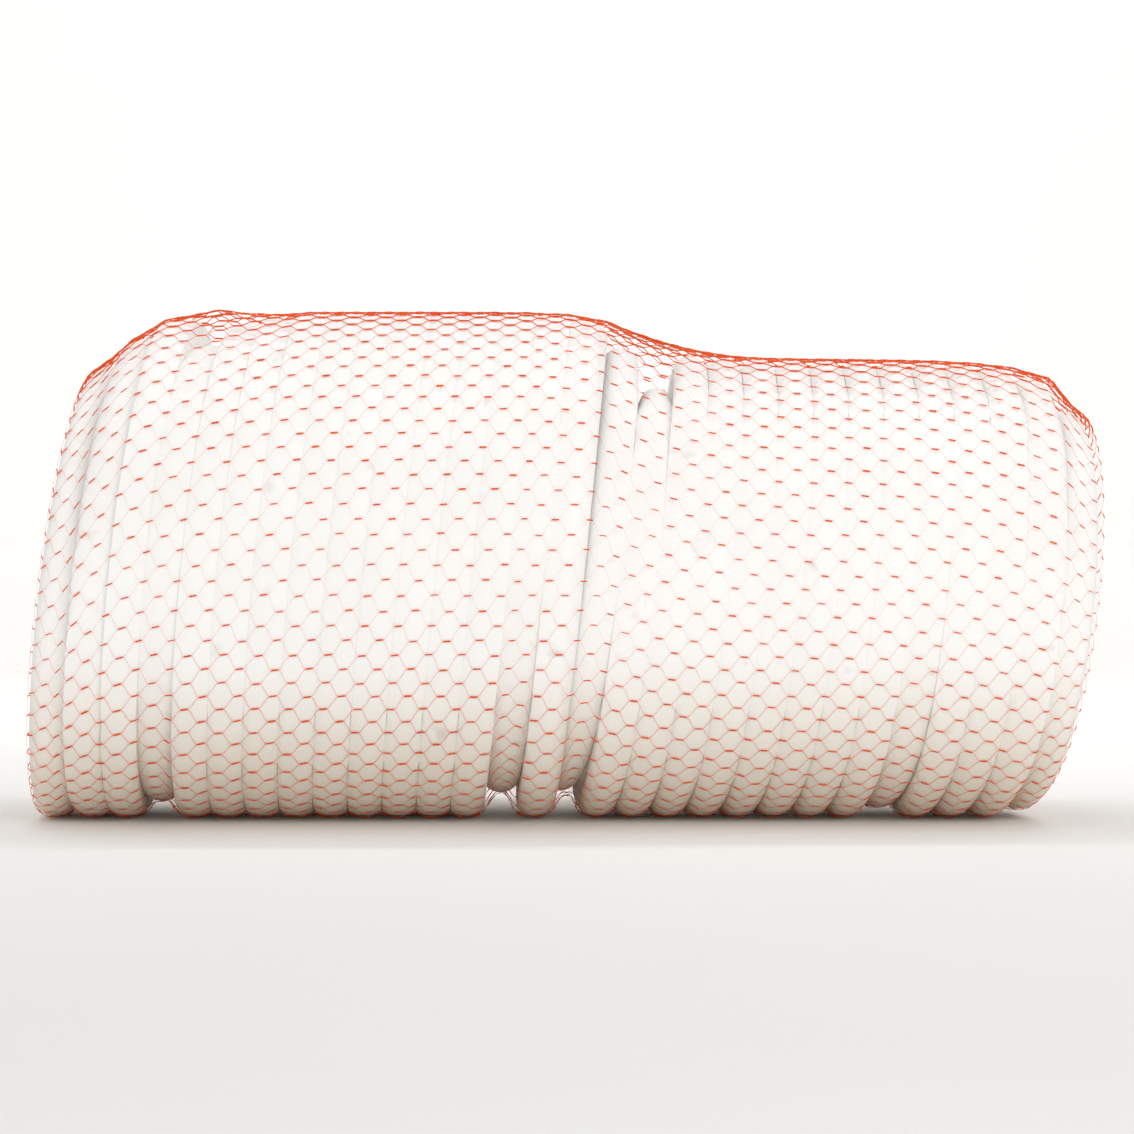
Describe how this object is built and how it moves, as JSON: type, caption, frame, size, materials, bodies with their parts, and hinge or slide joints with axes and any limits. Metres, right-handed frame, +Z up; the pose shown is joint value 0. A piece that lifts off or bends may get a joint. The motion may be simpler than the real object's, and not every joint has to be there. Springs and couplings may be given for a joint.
{
  "type": "netted foam cord coil",
  "caption": "Thick white foam cord wound in adjoining coils that lie on their side, packed in a tube of orange-red plastic netting gathered and tied at its ends.",
  "frame": {"origin": "on the floor under the middle of the pack's box", "axes": "+X along the common axis of the coils towards the smaller coil, -Y towards the front, +Z up"},
  "size_m": [0.6468, 0.3138, 0.3112],
  "materials": {
    "foam": "matt closed foam skin",
    "net": "satin extruded plastic",
    "tie": "smooth nylon"
  },
  "bodies": {
    "root": {"left_coil": "foam", "right_coil": "foam", "net_sleeve": "net", "left_tie": "tie", "right_tie": "tie"}
  },
  "joints": []
}
